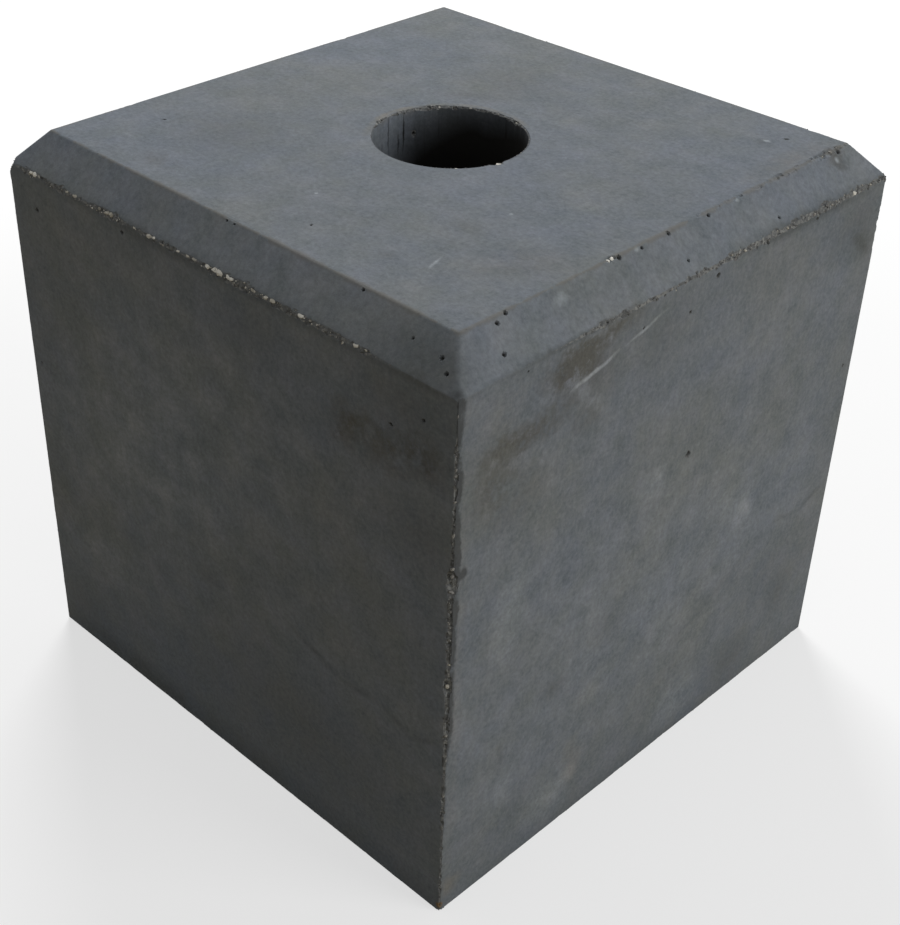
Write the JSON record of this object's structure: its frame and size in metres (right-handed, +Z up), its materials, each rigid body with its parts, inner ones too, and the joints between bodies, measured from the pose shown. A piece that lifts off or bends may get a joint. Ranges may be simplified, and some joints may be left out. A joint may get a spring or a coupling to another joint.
{
  "type": "concrete deck pier block",
  "caption": "Cast concrete cube with a bevelled top and a round post hole down the middle, set under a deck post as its footing.",
  "frame": {"origin": "centre of the underside", "axes": "+Z up, along the post hole's axis; X and Y square to the four sides; the corner at +X -Y is the one nearest the camera in the picture"},
  "size_m": [0.3, 0.3, 0.3],
  "materials": {
    "cast_concrete": "dark grey, cast against smooth forms, matt"
  },
  "bodies": {
    "root": {"pier_block": "cast_concrete"}
  },
  "joints": []
}
